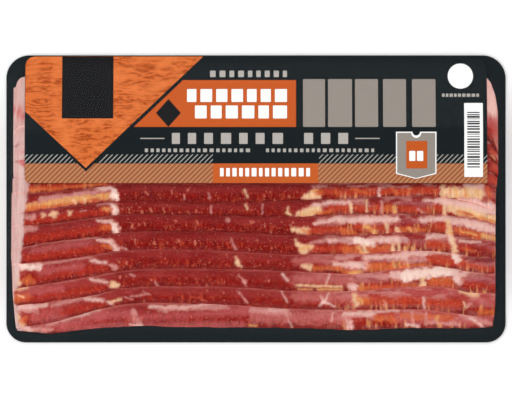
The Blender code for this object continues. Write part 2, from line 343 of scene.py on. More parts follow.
def smooth_line(x, knots_x, knots_y):
    """Cubic through the knots, with the slope at each knot taken from its neighbours."""
    slopes = np.gradient(knots_y, knots_x)
    i = np.clip(np.searchsorted(knots_x, x) - 1, 0, len(knots_x) - 2)
    width = knots_x[i + 1] - knots_x[i]
    u = np.clip((x - knots_x[i]) / width, 0.0, 1.0)
    start = knots_y[i] * (1 + 2 * u) * (1 - u) ** 2 + slopes[i] * width * u * (1 - u) ** 2
    end = knots_y[i + 1] * (3 - 2 * u) * u**2 - slopes[i + 1] * width * (1 - u) * u**2
    return start + end


def tip_line(line, x):
    """Y of a strip's lower edge at x, with a slight waver of its own."""
    measured = len(TIP_Y)
    waver = 0.5 * MM * (noise(x / (6 * MM), 3.3 * line, 41) - 0.5)
    waver = waver + 0.28 * MM * (noise(x / (2.2 * MM), 5.1 * line, 43) - 0.5)
    if line <= measured:
        return smooth_line(x, TIP_X, TIP_Y[line - 1]) + waver
    last = smooth_line(x, TIP_X, TIP_Y[-1])
    hidden = STRIPS + STRIP_SPAN - measured
    return last + (np.interp(x, TOP_X, TOP_Y) - last) * (line - measured) / hidden + waver


def strip_thickness(strip, x):
    """Thickness along a strip, uneven and drawn thin at both ends."""
    from_end = np.minimum(x - LEFT_END[strip - 1], RIGHT_END[strip - 1] - x)
    taper = np.sin(0.5 * math.pi * np.clip(from_end / END_TAPER, 0.0, 1.0))
    wave = 1 + 0.03 * np.sin(x / (23 * MM) + 2.1 * strip) + 0.02 * np.sin(x / (9 * MM) + 3.7 * strip)
    return STRIP_THICKNESS * (END_THICKNESS + (1 - END_THICKNESS) * taper) * wave


STATIONS = np.linspace(min(LEFT_END), max(RIGHT_END), 560)
LINES = {line: tip_line(line, STATIONS) for line in range(1, STRIPS + STRIP_SPAN + 1)}


def lay_strips():
    """Undersides and thickness of each strip on its own lines, at every station."""
    laid = []
    for strip in range(1, STRIPS + 1):
        under = np.full((STRIP_SPAN + 1, len(STATIONS)), BOARD_TOP + GAP)
        if laid:
            under[:-1] = laid[-1]["under"][1:] + laid[-1]["thick"] + GAP
        thick = strip_thickness(strip, np.clip(STATIONS, LEFT_END[strip - 1], RIGHT_END[strip - 1]))
        lines = np.array([LINES[strip + i] for i in range(STRIP_SPAN + 1)])
        laid.append({"lines": lines, "under": under, "thick": thick})
    return laid


LAID = lay_strips()
# Rounded lower edge of a strip: height as part of its thickness, by part of the way to the next tip
EDGE_AT = (0.0, 0.015, 0.05, 0.12, 0.24, 0.36, 0.47, 0.55, 1.0)
EDGE_HEIGHT = (0.0, 0.22, 0.42, 0.62, 0.82, 0.92, 0.975, 0.99, 1.0)


def across(layer, field, u):
    """A strip's lines or undersides at u, counted in lines from its tip, at every station."""
    i = min(int(u), STRIP_SPAN - 1)
    return layer[field][i] + (u - i) * (layer[field][i + 1] - layer[field][i])


def top_height(layer, u):
    """Height of a strip's upper side at u."""
    return across(layer, "under", u) + np.interp(u, EDGE_AT, EDGE_HEIGHT) * layer["thick"]


# Rows of a strip's upper side, counted in lines from its tip: close together where it shows
VISIBLE_U = np.concatenate(((0.0, 0.004, 0.015, 0.035, 0.06, 0.09, 0.12), np.linspace(0.16, 1.1, 24)))
HIDDEN_U = np.array((1.3, 1.6, 2.0, 2.5, 3.0, 3.5, 3.85, 3.97))
# Height of the lumps on a strip, and how far its ends are rounded off
RELIEF = 0.4 * MM
ROUND_OFF = 1.5 * MM


def strip_rows(strip):
    """Rows of a strip's skin: its top from the tip to the back, then its underside back to the tip."""
    layer = LAID[strip - 1]
    rows = [(across(layer, "lines", u), top_height(layer, u), u) for u in (*VISIBLE_U, *HIDDEN_U)]
    back = layer["under"][STRIP_SPAN]
    for part in (0.6, 0.15):
        rows.append((layer["lines"][STRIP_SPAN], back + part * layer["thick"], 4.0))
    rows += [(across(layer, "lines", u), across(layer, "under", u), u) for u in (3.9, 3.0, 2.0, 1.0, 0.3)]
    return rows


def add_strip(strip, finish):
    """One strip, with rounded ends: its rows are drawn in to the middle of its thickness there.

    Its ends run on from those of its neighbours, so that the stack has a smooth outline."""
    rows = strip_rows(strip)
    y = np.array([row[0] for row in rows])
    z = np.array([row[1] for row in rows])
    u = np.array([np.full(len(STATIONS), row[2]) for row in rows])
    place = strip - 0.5 + np.minimum(u, 1.0)
    left = np.interp(place, range(1, STRIPS + 1), LEFT_END)
    right = np.interp(place, range(1, STRIPS + 1), RIGHT_END)
    x = left + (STATIONS - STATIONS[0]) * (right - left) / (STATIONS[-1] - STATIONS[0])
    layer = LAID[strip - 1]
    middle = np.array([across(layer, "under", v) for v in u[:, 0]]) + 0.5 * layer["thick"]
    from_end = np.minimum(x - left, right - x)
    part = np.sqrt(np.clip(1 - (1 - np.clip(from_end / ROUND_OFF, 0, 1)) ** 2, 0, 1))
    z = middle + (z - middle) * np.maximum(part, 0.02)
    lumps = noise(x / (5 * MM), y / (2.6 * MM), strip)
    lumps = lumps + 0.4 * noise(x / (2.4 * MM), y / (1.4 * MM), strip + 5) - 0.7
    on_top = np.zeros(len(rows))
    on_top[:len(VISIBLE_U)] = smoothstep(0.02, 0.15, VISIBLE_U) * smoothstep(1.1, 0.95, VISIBLE_U)
    z = z + RELIEF * lumps * part * on_top[:, None]
    points = np.stack((x, y, z), axis=-1).reshape(-1, 3)
    faces = grid_faces(len(rows), len(STATIONS), closed=True)
    data = mesh_from(f"strip_{strip:02d}", points, faces)
    set_attribute(data, "flesh", paint(strip, points[:, 0], points[:, 1], u.ravel()))
    add_piece(f"strip_{strip:02d}", data, finish, (f"bacon_strip_{strip:02d}",))


# Colours of the meat

# Paint of each kind of mark: its colour, how much it covers, and how far its edge fades in pixels
PAINTS = {
    # White and bone stand for fat, and on a few strokes for painted highlights
    "white": (srgb(231, 185, 175), 0.92, 1.6),
    "bone": (srgb(243, 212, 198), 0.93, 1.4),
    "pale": (srgb(214, 148, 140), 0.76, 1.6),
    "cream": (srgb(231, 187, 144), 0.92, 1.4),
    "yellow": (srgb(222, 160, 96), 0.88, 1.4),
    "orange": (srgb(208, 100, 50), 0.75, 1.7),
    "red": (srgb(172, 46, 31), 0.7, 2.0),
    "rust": (srgb(190, 64, 38), 0.72, 2.0),
    "dark": (srgb(100, 20, 26), 0.55, 2.0),
    "mauve": (srgb(160, 75, 82), 0.6, 2.0),
    "pink": (srgb(196, 98, 98), 0.55, 3.0),
    "rose": (srgb(200, 114, 110), 0.6, 3.0),
    "deep": (srgb(132, 24, 18), 0.8, 1.6),
    "fleck": (srgb(216, 122, 100), 0.85, 1.1),
    "red patch": (srgb(188, 78, 76), 0.8, 2.2),
}
# Lean meat on a strip's face and on its cut edge, each from its deep to its lit colour, the edge's deep
# one also painted shade at its foot; then the fat's painted shade and painted light, for its ridges
FACE_DEEP = np.array(srgb(132, 26, 25))
FACE_LIT = np.array(srgb(172, 63, 58))
EDGE_DEEP = np.array(srgb(112, 9, 8))
EDGE_LIT = np.array(srgb(152, 24, 16))
FAT_PAINTED_SHADE = np.array(srgb(186, 136, 129))
FAT_PAINTED_LIGHT = np.array(srgb(214, 184, 177))
# A painted highlight along the rim below the strip above, dark patches, and embers and fat streaks, mostly
# on the edge
RIM_HIGHLIGHT = np.array(srgb(206, 122, 114))
DARK_PATCH = np.array(srgb(80, 10, 14))
EMBER = np.array(srgb(200, 80, 52))
FAT_STREAK = np.array(srgb(228, 160, 104))
# Bands of pixels over which the meat turns lighter: down the pack, to its left and to its right
LOWER_ZONE = (225, 322)
LEFT_ZONE = (95, 130)
RIGHT_ZONE = (280, 330)
# The same for fat streaks, at the right and at the upper left, and for pale marbling at the right
STREAKED_RIGHT = (325, 350)
STREAKED_LEFT = (95, 115)
STREAKED_UPPER = (215, 190)
MARBLED_RIGHT = (300, 345)
# Paints with a soft halo round them, and how far it reaches in pixels
HALOED = ("white", "bone", "cream", "yellow")
HALO = np.array(srgb(202, 118, 104))
HALO_WIDTH = 1.8
# Radius from which a stroke bends and fades in full; thinner ones stay crisp
BOLD = 3.0

# Fat, veins, colour changes and a few painted highlights of each strip, from the lowest up. Each is a
# tapering stroke: its paint, then the pixel and radius at its start, at its end and, if it runs on, at
# each further end.
STROKES = {1: (
    ("pale", 26, 329, 4, 50, 330, 3), ("white", 22, 326, 2.5, 30, 331, 2.5),
    ("white", 47, 325, 1.5, 100, 309.5, 2), ("pink", 44, 326, 4, 104, 316, 4),
    ("pink", 60, 328, 5, 240, 326, 5), ("pink", 94, 315, 5, 127, 314, 5),
    # The white stroke from pixel 150 to 221 on the next line is a painted highlight along this strip's top
    ("pale", 133, 311, 3, 138, 322, 3.6), ("white", 150, 306.5, 1.4, 182, 307.6, 1.8, 221, 302, 1.3),
    ("pale", 160, 309.4, 2.4, 225, 307, 3), ("pink", 130, 318, 4, 260, 312, 3.5),
    ("pale", 252, 309, 2, 266, 311, 3), ("white", 270, 310, 2, 287, 311.5, 2),
    ("pink", 226, 309, 3, 250, 308, 3), ("pale", 252, 310, 2.6, 290, 314, 3),
    ("white", 285.5, 313, 0.7, 291.6, 327, 0.8), ("rose", 255, 318, 6, 345, 318, 7),
    ("yellow", 249, 325, 1, 256, 326, 1), ("white", 333, 313, 0.8, 331.6, 321, 0.8),
    ("white", 130, 325, 1, 142, 325.5, 1), ("white", 345, 314, 2.5, 374, 314, 3),
    ("pale", 345, 317, 2, 352, 325, 2.5), ("white", 350, 322, 2, 350, 327, 3),
    ("rust", 377, 316, 4, 393, 316, 4), ("orange", 376, 319, 3, 396, 320, 3),
    ("white", 376, 311.5, 1.2, 398, 311, 1.2), ("pink", 400, 318, 6, 470, 320, 7),
    ("orange", 402, 316, 3, 452, 318, 3), ("pale", 412, 312, 1.2, 413, 324, 1.5),
    ("pale", 426, 312, 1.2, 427, 324, 1.5), ("yellow", 437, 318, 2.2, 440, 326, 2.2),
    ("white", 407, 325, 1.5, 418, 326, 1.5), ("pale", 430, 322, 2, 460, 324, 2),
    ("pale", 462, 314, 3, 490, 324, 3), ("white", 470, 318, 1.5, 482, 326, 1.5),
    ("rust", 440, 322, 2, 458, 315, 2), ("pink", 484, 318, 4, 492, 316, 3),
), 2: (
    ("pale", 16, 308, 5, 34, 309, 5), ("white", 18, 308, 2.5, 30, 306, 2.5),
    ("white", 30, 307, 2, 46, 305, 2), ("cream", 17, 316, 3, 22, 326, 2.5),
    ("pink", 34, 318, 5, 60, 314, 6), ("orange", 22, 321, 3.5, 26, 319, 3),
    ("red", 62, 313, 3, 104, 303, 2.5), ("pale", 52, 306, 2, 96, 294, 1.6),
    ("white", 85, 298.5, 1.6, 103, 301, 1.6), ("cream", 110, 302.5, 1.2, 121, 299.5, 1.2),
    ("pale", 130, 296.5, 0.8, 149, 294, 0.8), ("pale", 240, 293, 0.8, 247, 302.5, 1.2),
    ("white", 281, 290.5, 0.6, 287.5, 302.5, 0.6), ("pale", 124, 297, 0.6, 132, 299.5, 0.7),
    ("pale", 143, 291.5, 0.5, 150, 294.5, 0.5), ("white", 107, 302, 0.8, 112, 304.5, 1.2),
    ("pale", 236, 291, 0.5, 240, 294, 0.9), ("rose", 296, 298, 5, 352, 298, 6),
    ("white", 324, 302, 1.6, 320.5, 296, 0.7), ("white", 324, 302, 1.6, 329, 293, 0.7),
    ("white", 324, 302, 1.4, 320, 306, 0.6), ("white", 324, 302, 1.4, 334, 306.3, 1.0),
    ("cream", 355, 296, 2.5, 357, 304, 2.5), ("orange", 360, 299, 3.5, 368, 301, 3.5),
    ("yellow", 359, 298, 1.5, 362, 303, 1.5), ("rust", 375, 300, 4.5, 402, 301, 4.5),
    ("pale", 368, 293, 1, 404, 292.5, 1), ("pale", 384, 301, 0.7, 385, 306, 0.8),
    ("pink", 404, 292, 3, 455, 293, 3), ("rust", 404, 301, 4, 420, 301, 4),
    ("white", 424, 298, 1.4, 424.5, 307, 1.6), ("rust", 430, 303, 4.5, 459, 304, 4.5),
    ("cream", 460, 291, 2, 477, 295, 2.6), ("cream", 464, 302, 1, 466, 308, 1.2),
    ("pale", 467, 306, 2, 472, 304, 2), ("orange", 481, 312, 3.5, 493, 313, 3),
    ("pink", 474, 300, 4, 492, 303, 4),
), 3: (
    ("cream", 14, 289, 2, 26, 287, 2), ("orange", 16, 298, 4.5, 27, 297, 4.5),
    ("red", 22, 300, 1.5, 34, 299, 2), ("cream", 18, 295, 0.8, 24, 297, 0.9),
    ("pink", 30, 292, 5, 60, 289, 5), ("red", 34, 299, 3, 100, 288, 3),
    ("white", 90, 279, 1.5, 106, 282, 1.7), ("cream", 112, 285, 2.5, 116, 285.5, 3),
    ("pale", 130, 274, 0.9, 135, 276.5, 0.9), ("pale", 155, 282, 0.8, 157.5, 286, 0.8),
    ("pale", 238.5, 274.5, 0.8, 243.9, 282, 2.0, 246, 286, 0.8), ("white", 282, 274, 1, 288.4, 281, 0.9),
    ("rose", 296, 279, 5, 345, 279, 5.5), ("white", 330, 273, 0.8, 327, 283, 1.2),
    ("cream", 296, 285.4, 0.9, 314, 285.8, 1.2), ("yellow", 298, 289, 0.8, 312, 289.6, 0.8),
    ("cream", 314, 286, 1, 341, 286.6, 1.1), ("yellow", 318, 289.4, 0.9, 341, 289.4, 1),
    ("white", 351, 286, 3, 355, 288, 3.2), ("pale", 360, 277, 3, 385, 276, 3),
    ("mauve", 356, 279, 3, 380, 281, 3), ("orange", 360, 288, 2.5, 392, 288, 2.5),
    ("rust", 372, 286, 2.5, 402, 286, 2.5), ("white", 392, 275, 3, 408, 276, 6),
    ("bone", 406, 276, 5.6, 440, 271, 5.5, 456, 272, 4), ("white", 456, 273, 4, 459, 283, 3),
    ("orange", 432, 281.5, 3.8, 449, 282, 3.8), ("rust", 429, 282.5, 2, 452, 284, 2),
    ("white", 468, 272, 2.5, 458, 277, 3), ("orange", 404, 287, 3, 416, 286, 3),
    ("cream", 423, 279, 3, 424, 290, 3), ("red", 468, 284, 4, 493, 286, 4),
    ("mauve", 470, 279, 3, 493, 281, 4), ("rust", 436, 287, 1.5, 456, 289, 1.5),
), 4: (
    # The bone stroke from pixel 21 to 40 on the next line is a painted gloss highlight on this strip's
    # face
    ("bone", 21, 266.5, 3.2, 40, 266.5, 3), ("pale", 15, 270, 3, 16, 285, 3),
    ("cream", 17, 268, 2, 19, 284, 2), ("orange", 27, 281, 4.5, 30, 280, 4.5),
    ("red", 36, 279, 3.5, 104, 268, 3), ("pink", 40, 272, 4, 80, 266, 4), ("pale", 44, 264, 1, 92, 257, 1),
    ("white", 92, 260.5, 1.6, 106, 263, 1.6), ("pale", 112, 266, 2.5, 115, 267, 2.8),
    ("cream", 235.5, 257, 0.7, 238, 263, 1.6), ("cream", 238, 263, 2.0, 240.5, 266.5, 1.2),
    ("rose", 296, 260, 4, 336, 259, 4), ("cream", 303, 266, 2.2, 309, 267, 3.2),
    ("orange", 314, 268, 2.5, 340, 268, 2.5), ("white", 334, 264, 1.8, 352, 265, 3, 366, 266, 4),
    ("orange", 343, 271, 2.6, 355, 272, 3), ("yellow", 350, 272.5, 1.5, 360, 272, 2),
    ("pale", 338, 257, 2.5, 352, 257, 2.5), ("white", 366, 258, 3, 404, 257, 3),
    ("mauve", 372, 261, 2, 392, 260, 2), ("orange", 368, 267, 4, 404, 267, 4),
    ("yellow", 393, 261, 1.3, 395, 271, 1.3), ("yellow", 399, 262, 1.2, 400, 269, 1.2),
    ("white", 404, 254, 2.5, 446, 251, 3), ("pale", 404, 261, 3, 424, 259, 3),
    ("orange", 402, 266, 3, 424, 266, 3), ("yellow", 408, 264, 1, 410, 269, 1.2),
    ("rust", 431, 259, 5, 458, 261, 5), ("bone", 452, 252, 2.8, 457, 259, 3.6),
    ("white", 457, 254, 3, 464, 253, 1.5), ("rust", 460, 264, 3, 494, 269, 3),
    ("dark", 470, 258, 4, 493, 260, 4), ("mauve", 470, 262, 2, 492, 265, 2),
    ("pale", 488, 255, 0.6, 490, 257, 0.8),
), 5: (
    ("pale", 20, 246, 3.5, 34, 243, 3), ("pale", 34, 243.5, 0.7, 96, 237.5, 0.8),
    ("red", 26, 258, 3.5, 106, 247, 3.5), ("pink", 34, 250, 4, 90, 242, 4),
    ("white", 98, 239.5, 1.5, 110, 241, 2, 117, 249, 2.6), ("pale", 122, 247, 1, 126, 249, 1.2),
    ("orange", 104, 246, 2, 110, 247, 2.5), ("pale", 231.5, 238, 0.8, 235.2, 249, 1.4),
    ("cream", 295.5, 239, 0.8, 298, 245, 1.8, 304, 251.5, 3), ("cream", 300, 246, 1.8, 311, 247, 2.4),
    ("yellow", 300, 249, 2, 308, 247, 2), ("rust", 314, 249, 3, 342, 249, 3.2),
    ("pale", 311, 243, 1.5, 330, 240.5, 2), ("white", 330, 240.5, 2, 356, 240, 3),
    ("bone", 356, 240, 3.6, 372, 244, 4), ("mauve", 338, 239, 1.6, 352, 241, 1.6),
    ("orange", 344, 249, 3.5, 360, 252, 4), ("yellow", 358, 247, 2, 365, 255, 2),
    ("cream", 364, 246, 2, 366, 252, 2), ("white", 372, 240, 3, 404, 240, 3.5),
    ("orange", 371, 249, 3.5, 388, 249, 3.5), ("rust", 374, 251, 2, 386, 251, 2),
    ("cream", 392, 244, 1.6, 393, 252, 1.6), ("cream", 398, 244, 1.5, 399, 252, 1.5),
    ("mauve", 402, 240, 3, 424, 242, 3), ("yellow", 404, 248, 1, 405, 252, 1.2),
    ("yellow", 412, 248, 1, 413, 252, 1), ("white", 428, 237, 2.5, 446, 235.5, 2.5),
    ("rust", 432, 244, 4.5, 447, 245, 4.5), ("bone", 450.5, 235.5, 2.4, 452, 242, 2.8),
    ("cream", 452, 241, 3, 455, 250, 3.5), ("white", 460, 241, 1.3, 480, 242, 1.3),
    ("red", 462, 247, 3.5, 492, 251, 3.5), ("dark", 474, 249, 3, 490, 253, 2.5),
    ("orange", 464, 249, 1.2, 474, 251, 1.2), ("mauve", 478, 244, 1.6, 493, 248, 1.6),
), 6: (
    ("pale", 22, 229, 4, 36, 228, 2), ("red", 27, 239, 3.5, 106, 228, 3.5),
    ("white", 98, 221, 1.5, 111, 221.5, 2), ("bone", 114, 225, 3.6, 116, 230, 3.2),
    ("orange", 101, 227, 2.5, 109, 228, 3), ("pale", 228, 218.5, 1.2, 228, 221, 1.4),
    ("cream", 294, 230, 2, 306, 231, 3.5), ("orange", 303, 230, 2, 309, 232, 2.5),
    ("rust", 311, 230, 3.2, 342, 230, 3.4), ("orange", 344, 230, 3.5, 353, 232, 3.5),
    ("white", 316, 223, 1.6, 340, 219, 3, 366, 220, 3.4, 396, 219, 3), ("rust", 356, 226, 3, 362, 228, 4),
    ("yellow", 365, 226, 2.4, 376, 232, 2.4), ("orange", 367, 231, 1.5, 375, 226, 1.2),
    ("rust", 379, 229, 3, 383, 229, 3.5), ("cream", 386, 224, 1.6, 387.5, 233, 1.6),
    ("rust", 391, 230, 3, 394, 230, 3), ("cream", 397, 228, 2, 399, 232, 2),
    ("mauve", 402, 221, 3, 422, 222, 3), ("orange", 402, 229, 3, 424, 230, 2.6),
    ("yellow", 409, 228, 0.9, 411, 233, 1), ("yellow", 416, 229, 0.8, 417, 233, 1),
    ("white", 421, 220, 2.5, 445, 218, 3), ("white", 445, 219, 3.4, 466, 222.5, 4.4, 494, 230, 4.6),
    ("rust", 435, 225.5, 4.4, 442, 227, 4.8), ("cream", 447.5, 222, 2.6, 450, 236, 2.8),
    ("yellow", 449, 228, 1.5, 452, 238, 1.5), ("orange", 456, 230, 2.8, 479, 236, 3.2),
    ("rust", 458, 232, 1.4, 480, 238, 1.6), ("yellow", 460, 231, 0.7, 476, 235, 0.9),
    ("yellow", 484, 236, 3, 495, 239, 2.5),
), 7: (
    ("red", 27, 222, 3, 106, 211, 3.4), ("pale", 33.4, 217.2, 3.4, 28, 217, 2.6),
    ("cream", 43.5, 216, 2.4, 44.5, 215, 2.6), ("cream", 54, 214.4, 4, 55, 214, 3.6),
    ("cream", 68.5, 211.5, 1.4, 70, 213, 2.2), ("pale", 80, 211, 0.7, 86, 210.4, 0.7),
    ("mauve", 34, 211, 2.5, 60, 207, 2.5), ("pale", 98, 205, 1.5, 110, 203, 2),
    ("bone", 113.5, 206.5, 3.4, 115.5, 212, 3.6), ("orange", 103, 209, 2.5, 110, 210, 3),
    ("yellow", 105, 208.5, 1.2, 108, 209.5, 1.4), ("pale", 211.5, 206, 0.9, 211, 212.5, 1.1),
    ("pale", 262.3, 205, 0.7, 262.3, 214.5, 0.8), ("cream", 246, 205, 1.2, 247, 209, 1),
    ("cream", 288.4, 206.5, 0.5, 286.8, 212, 1.1), ("cream", 286.8, 212, 1.3, 291.5, 215, 0.8),
    ("cream", 298, 213.5, 2, 312, 212, 4), ("yellow", 302, 214, 1.5, 320, 211, 2.6),
    ("cream", 306, 211, 2.6, 318, 208, 3), ("white", 312, 206, 1.6, 330, 202, 2.2, 350, 202.5, 2.4),
    ("rust", 331, 208, 4, 347, 208, 4.4), ("orange", 318, 213, 1.6, 330, 212, 2),
    ("cream", 350.8, 204, 1.2, 350.5, 213, 1.4), ("rust", 356, 208, 3.6, 362, 208, 4),
    ("cream", 366.8, 200, 1.3, 367.4, 211, 1.5), ("rust", 372, 208, 3.6, 377, 208, 4),
    ("pale", 381.6, 201, 1.5, 381, 213, 1.5), ("orange", 386, 208, 3, 391, 209, 3),
    ("yellow", 394.5, 207, 1.6, 394, 215, 1.8), ("pale", 354, 201, 1.4, 364, 200.5, 1.4),
    ("mauve", 402, 203, 2.4, 430, 203, 2.4), ("rust", 402, 210, 3, 428, 210, 3),
    ("pale", 418, 209, 1, 424, 213, 1), ("white", 424, 200.5, 1.2, 442, 199.5, 2),
    ("rust", 435.5, 207, 3.8, 439.5, 209, 4.2), ("cream", 444, 199, 2.4, 445, 214, 2.4),
    ("white", 436, 200, 2.4, 448, 201.5, 4.4), ("white", 448, 202, 4.6, 470, 205.5, 5, 495, 211.5, 4.8),
    ("cream", 451, 208, 3.8, 470, 212, 4), ("cream", 470, 213, 3.8, 495, 219, 3.6),
    ("yellow", 456, 212, 1.6, 494, 221, 1.8), ("orange", 457, 211, 1.3, 471, 215, 1.6),
    ("red", 464, 213, 0.9, 473, 216, 1.1), ("orange", 480, 218, 1, 494, 221, 1.2),
), 8: (
    ("pale", 42, 199.5, 2.6, 76, 195, 2.8), ("mauve", 66, 195, 1.4, 90, 192.5, 1.6),
    ("pale", 76, 195, 2.6, 106, 189.5, 2.4), ("yellow", 28, 207, 2.6, 50, 204, 3.4, 80, 199, 3.6),
    ("orange", 27, 210, 3.4, 46, 206.5, 2.6), ("orange", 46, 207, 1.6, 96, 199, 2.2),
    ("yellow", 80, 199, 3, 109, 196, 3.4), ("red", 52, 206.6, 1, 62, 205.4, 1.2),
    ("red", 92, 200.5, 2, 100, 199, 2.4), ("cream", 74, 200, 1.4, 76, 203, 1.4),
    ("cream", 84, 198.5, 1.4, 85, 202, 1.3), ("orange", 104, 194.5, 1, 104.5, 200, 1.1),
    ("white", 98, 188.5, 1.6, 111, 188.6, 2), ("bone", 113.5, 191.5, 3.6, 115.5, 197.5, 3.6),
    ("dark", 144, 193, 2.5, 154, 197, 3), ("dark", 151, 188, 2, 152, 198, 2.5),
    ("cream", 245, 191, 1.3, 247.5, 197, 0.9), ("pale", 208.5, 193, 1.1, 209.5, 198, 0.9),
    ("pale", 184, 195, 0.8, 184.5, 198.5, 0.9), ("cream", 304, 197.5, 1.6, 314, 193, 3.6),
    ("cream", 306, 197.5, 1.6, 319, 197, 1.8), ("orange", 315, 191.5, 3, 322, 192, 3.4),
    ("yellow", 312, 191, 1.2, 318, 189.5, 1.2), ("pale", 313, 186.5, 1.4, 326, 186, 1.6),
    ("rust", 328, 192, 3.6, 374, 192, 4), ("orange", 336, 190, 1.2, 337, 196, 1.2),
    ("orange", 352, 189, 1.2, 366, 193, 1.6), ("white", 379.5, 188.5, 0.9, 378.6, 197, 1.9),
    ("rust", 384, 192, 3.6, 436, 191, 3.8), ("pale", 417.5, 194, 0.7, 420, 200, 0.8, 425, 198, 0.8),
    ("orange", 392, 189, 1.6, 397, 194, 1.6), ("cream", 442.5, 187, 2.2, 443.5, 197, 2.2),
    ("cream", 449, 191, 5, 480, 193, 5.4), ("yellow", 455, 189, 1.8, 456, 196, 1.8),
    ("yellow", 465, 190, 1.6, 467, 197, 1.8), ("yellow", 477, 190, 1.4, 478, 198, 1.6),
    ("orange", 449.6, 186, 0.9, 449.6, 194, 1), ("orange", 464.4, 187, 0.8, 464.4, 197, 0.9),
    # The white stroke from pixel 466 to 483 on the next line is a painted highlight
    ("cream", 474, 196, 1.6, 480, 198, 1.6), ("white", 466, 185, 2.4, 483, 186.5, 2.8),
    ("red", 488, 184, 4.4, 489, 197, 4), ("rust", 488, 187, 3, 489.5, 195, 3),
    ("orange", 488, 187, 1.2, 489.5, 195, 1.6), ("white", 458, 199, 1.6, 476, 201.5, 2.6),
    ("white", 476, 202, 2.6, 494, 208, 4),
), 9: (
    ("orange", 30, 190, 3, 60, 188, 2.6), ("red", 30, 187, 2, 80, 185, 2.4),
    ("orange", 66, 187, 1.4, 106, 184, 1.4), ("pale", 24, 187, 1.6, 28, 190, 1.6),
    ("red", 484, 176, 3.4, 497, 182, 4), ("deep", 488, 184, 2, 492, 190, 2),
    ("rust", 493, 176, 2, 496, 182, 2),
), 10: (
    ("red patch", 22, 156, 3, 24, 163, 3.6), ("pink", 19, 156, 3, 25, 163, 3),
    ("red", 486, 165, 5, 500, 168, 5), ("deep", 487, 168, 5, 493, 158, 5),
    ("rust", 494, 164, 2, 495, 170, 2),
), 11: (
    ("pink", 20, 153, 2, 26, 150, 2.5), ("red", 486, 150, 5, 500, 152, 5),
    ("deep", 487, 154, 5, 494, 146, 5), ("rust", 492, 152, 2, 500, 154, 2),
), 12: (
    ("pink", 14, 112, 3.5, 25, 118, 4), ("red patch", 13, 110, 2.5, 20, 113, 3.5),
    ("red patch", 20, 112, 3, 26, 115, 4), ("white", 484, 80, 7, 492, 109, 7),
    ("white", 493, 88, 2, 497, 118, 2), ("red", 486, 130, 5.5, 500, 134, 6),
    ("deep", 488, 128, 3, 491, 146, 5), ("red patch", 487, 121, 4, 497, 122, 4),
    ("dark", 489, 137, 1.5, 491, 141, 1.5),
)}
# Flecks of fat in the lean meat of each strip: their pixels and radii
FLECKS = {2: (
    (137, 296, 0.6), (144, 301, 0.7), (207, 291, 0.7), (223, 293, 0.6), (262, 295, 0.6), (344, 300, 0.8),
), 3: (
    (119.5, 277, 0.8), (126, 276, 0.6), (151, 280, 0.6), (186, 278, 0.6), (207, 286, 0.7), (268, 281, 0.8),
), 4: (
    (126.5, 263, 1.0), (119, 262, 0.7), (165, 258, 0.6), (226, 255, 0.7), (268, 262, 0.7), (254, 266, 0.6),
), 5: (
    (135.4, 240, 1.0), (154.2, 242.7, 1.0), (179, 240.5, 0.8), (167.3, 242.4, 0.6), (195, 243, 1.0),
    (176.5, 242.4, 0.6), (249, 249, 0.7), (257, 240, 0.6), (272, 248, 0.7),
), 6: (
    (131.9, 225.5, 1.1), (138.6, 224.5, 0.8), (144, 224, 1.1), (175.3, 221, 0.8), (197.3, 222.6, 0.9),
    (177.5, 232.5, 0.6), (251, 222.3, 0.9), (253, 222, 0.8), (270.2, 232, 0.9), (264.6, 225, 0.7),
    (290.9, 225.4, 1.2), (293, 222.2, 0.7), (281, 221.5, 0.6),
), 7: (
    (145, 203, 0.7), (150.4, 209.6, 1.2), (142, 212, 0.9), (122.3, 208.6, 0.6), (128.8, 209, 0.6),
    (130, 212.5, 0.7), (163, 209, 0.7), (164.5, 212, 0.7), (172, 213.7, 0.8), (188.6, 212.4, 0.8),
    (196.3, 211, 0.9), (246.7, 204, 1.1), (279.3, 217, 0.6),
), 8: (
    (145.3, 192, 0.7), (147.8, 194.2, 0.8), (171, 192, 0.9), (183.5, 195, 0.7), (184, 197, 0.7),
    (188, 190, 0.8), (242, 192, 0.7), (263.5, 195.5, 0.9), (266, 191.3, 0.6), (269.8, 192.4, 0.6),
    (288.8, 196.2, 0.8), (274.7, 199.6, 0.8),
)}
# The fat along the left ends of the strips: where it stops, down the pack
LEFT_FAT_Y = (75, 190, 200, 215, 235, 250, 262, 275, 288, 292, 303, 306, 322, 330)
LEFT_FAT_X = (32, 29, 27, 24.5, 23.5, 22, 20.5, 19.5, 18, 13.5, 13.5, 17, 18, 22)


def stroke_depth(x, y, stroke):
    """Pixels inside a tapering stroke's outline, below zero outside it. Its width varies a little."""
    _, x1, y1, r1, x2, y2, r2 = stroke
    run_x, run_y = x2 - x1, y2 - y1
    along = np.clip(((x - x1) * run_x + (y - y1) * run_y) / (run_x**2 + run_y**2), 0, 1)
    away = np.hypot(x - x1 - along * run_x, y - y1 - along * run_y)
    radius = r1 + along * (r2 - r1)
    uneven = layered(x / 3.8, y / 2.6, 3.1 * x1) - 0.5
    return radius * (1 + uneven) - away


def mixed(rgb, other, mask):
    """Colours moved towards another one, by a mask from 0 to 1."""
    return rgb + (other - rgb) * mask[:, None]


